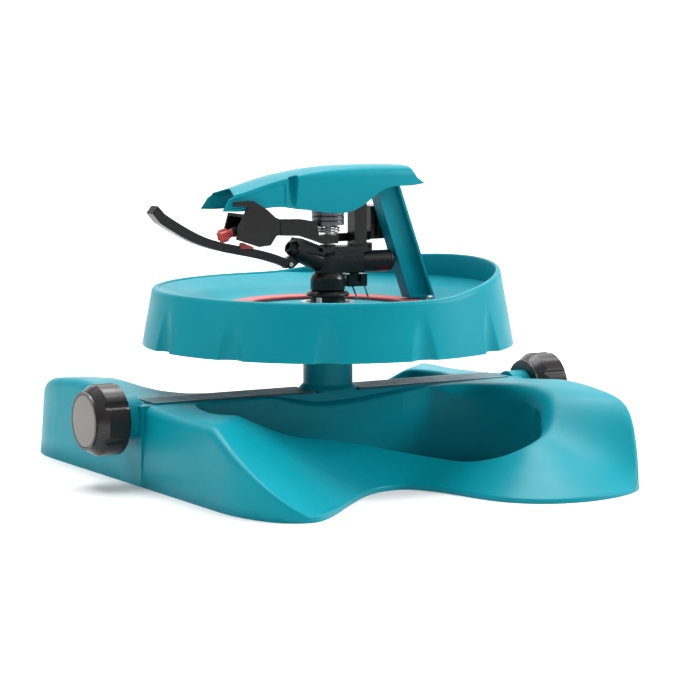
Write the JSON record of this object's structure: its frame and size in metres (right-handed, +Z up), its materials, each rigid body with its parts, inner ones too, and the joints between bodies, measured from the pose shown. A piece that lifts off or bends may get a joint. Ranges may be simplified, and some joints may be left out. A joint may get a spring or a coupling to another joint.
{
  "type": "impact sprinkler",
  "caption": "Impact sprinkler on a two-lobed sled base: water beam with hose swivel and end cap, splash dish, rotating head with sprung hammer arm, jet deflector and hood.",
  "frame": {"origin": "on the ground, on the vertical axis the head turns about", "axes": "+Z up; +X along the water beam, from the end cap to the hose inlet; -Y towards the front skid; the nozzle points to -X at rest"},
  "size_m": [0.2964, 0.336, 0.1664],
  "materials": {
    "turquoise": "satin gloss moulded plastic",
    "grey_strip": "ribbed matt plastic",
    "black": "satin black moulded plastic",
    "brown_black": "satin gloss brown-black plastic",
    "grey_disc": "matt grey insert",
    "coral": "satin coral red plastic",
    "pale_grey": "matt pale grey plastic",
    "silver": "satin turned",
    "steel": "satin stainless wire and pins",
    "rubber": "matt seal rubber",
    "zinc": "zinc plated"
  },
  "bodies": {
    "base": {"front_skid": "turquoise", "rear_skid": "turquoise", "skid_screws": "zinc", "pipe_beam": "turquoise", "deck_strips": "grey_strip", "riser_column": "turquoise", "column_seal": "rubber", "bearing_nipple": "black", "nipple_seal": "rubber"},
    "cap_liner": {"cap_washer": "rubber"},
    "end_cap": {"end_cap": "brown_black", "cap_disc": "grey_disc"},
    "inlet_coupling": {"hose_coupling": "brown_black", "coupling_washer": "rubber"},
    "sector_ring": {"sector_carrier": "turquoise", "sector_ring": "coral"},
    "sector_collar": {"sector_collar": "pale_grey"},
    "head": {"bearing_tube": "black", "thrust_washers": "rubber", "dust_flange": "black", "dust_sleeve": "black", "bearing_spring": "steel", "head_body": "black", "nozzle_tip": "black", "stream_straightener": "black", "rear_plug": "black", "plug_seal": "rubber", "fulcrum_pin": "steel", "spring_drum": "silver", "drum_cap": "black", "arm_spring": "steel", "arm_washer": "black", "hood": "turquoise", "hood_screws": "zinc", "rear_post": "turquoise", "post_screws": "zinc", "splash_dish": "turquoise", "deflector_pin": "steel", "trip_pin": "steel", "pawl_pin": "steel"},
    "arm": {"hammer_arm": "black", "arm_bush": "pale_grey", "counterweight": "black", "drive_spoon": "black", "knob_pin": "steel"},
    "knob": {"diffuser_knob": "coral"},
    "deflector": {"deflector_arm": "black", "deflector_insert": "coral"},
    "trip": {"trip_block": "black", "trip_wires": "steel"},
    "pawl": {"reversing_pawl": "black"}
  },
  "joints": [
    {"name": "cap_slide", "type": "slide", "parent": "base", "child": "cap_liner", "axis": [-1, 0, 0], "range_m": [0, 0.0067]},
    {"name": "cap_turn", "type": "hinge", "parent": "cap_liner", "child": "end_cap", "pos_m": [-0.14, 0, 0.0355], "axis": [-1, 0, 0], "range_deg": [0, 1080]},
    {"name": "inlet_swivel", "type": "hinge", "parent": "base", "child": "inlet_coupling", "pos_m": [0.14, 0, 0.0355], "axis": [1, 0, 0], "continuous": true},
    {"name": "sector_ring_turn", "type": "hinge", "parent": "base", "child": "sector_ring", "pos_m": [0, 0, 0.0893], "axis": [0, 0, 1], "continuous": true},
    {"name": "sector_collar_turn", "type": "hinge", "parent": "base", "child": "sector_collar", "pos_m": [0, 0, 0.0909], "axis": [0, 0, 1], "continuous": true},
    {"name": "head_turn", "type": "hinge", "parent": "base", "child": "head", "pos_m": [0, 0, 0.1], "axis": [0, 0, 1], "continuous": true},
    {"name": "arm_swing", "type": "hinge", "parent": "head", "child": "arm", "pos_m": [0, 0, 0.126], "axis": [0, 0, 1], "range_deg": [0, 50], "stiffness_Nm_per_rad": 0.008, "springref_deg": -22.92},
    {"name": "knob_turn", "type": "hinge", "parent": "arm", "child": "knob", "pos_m": [-0.06776, -0.0082, 0.13106], "axis": [-0.9703, 0, -0.2419], "continuous": true},
    {"name": "deflector_tilt", "type": "hinge", "parent": "head", "child": "deflector", "pos_m": [-0.0255, 0, 0.1132], "axis": [0, 1, 0], "range_deg": [-20, 2]},
    {"name": "trip_tilt", "type": "hinge", "parent": "head", "child": "trip", "pos_m": [0.0169, 0, 0.1042], "axis": [1, 0, 0], "range_deg": [-12, 12]},
    {"name": "pawl_swing", "type": "hinge", "parent": "head", "child": "pawl", "pos_m": [0.024, 0.008, 0.121], "axis": [0, 1, 0], "range_deg": [-18, 18]}
  ],
  "couplings": [
    {"joint": "cap_slide", "follows": "cap_turn", "m_per_rad": 0.00035157},
    {"joint": "pawl_swing", "follows": "trip_tilt", "ratio": 1.5}
  ]
}
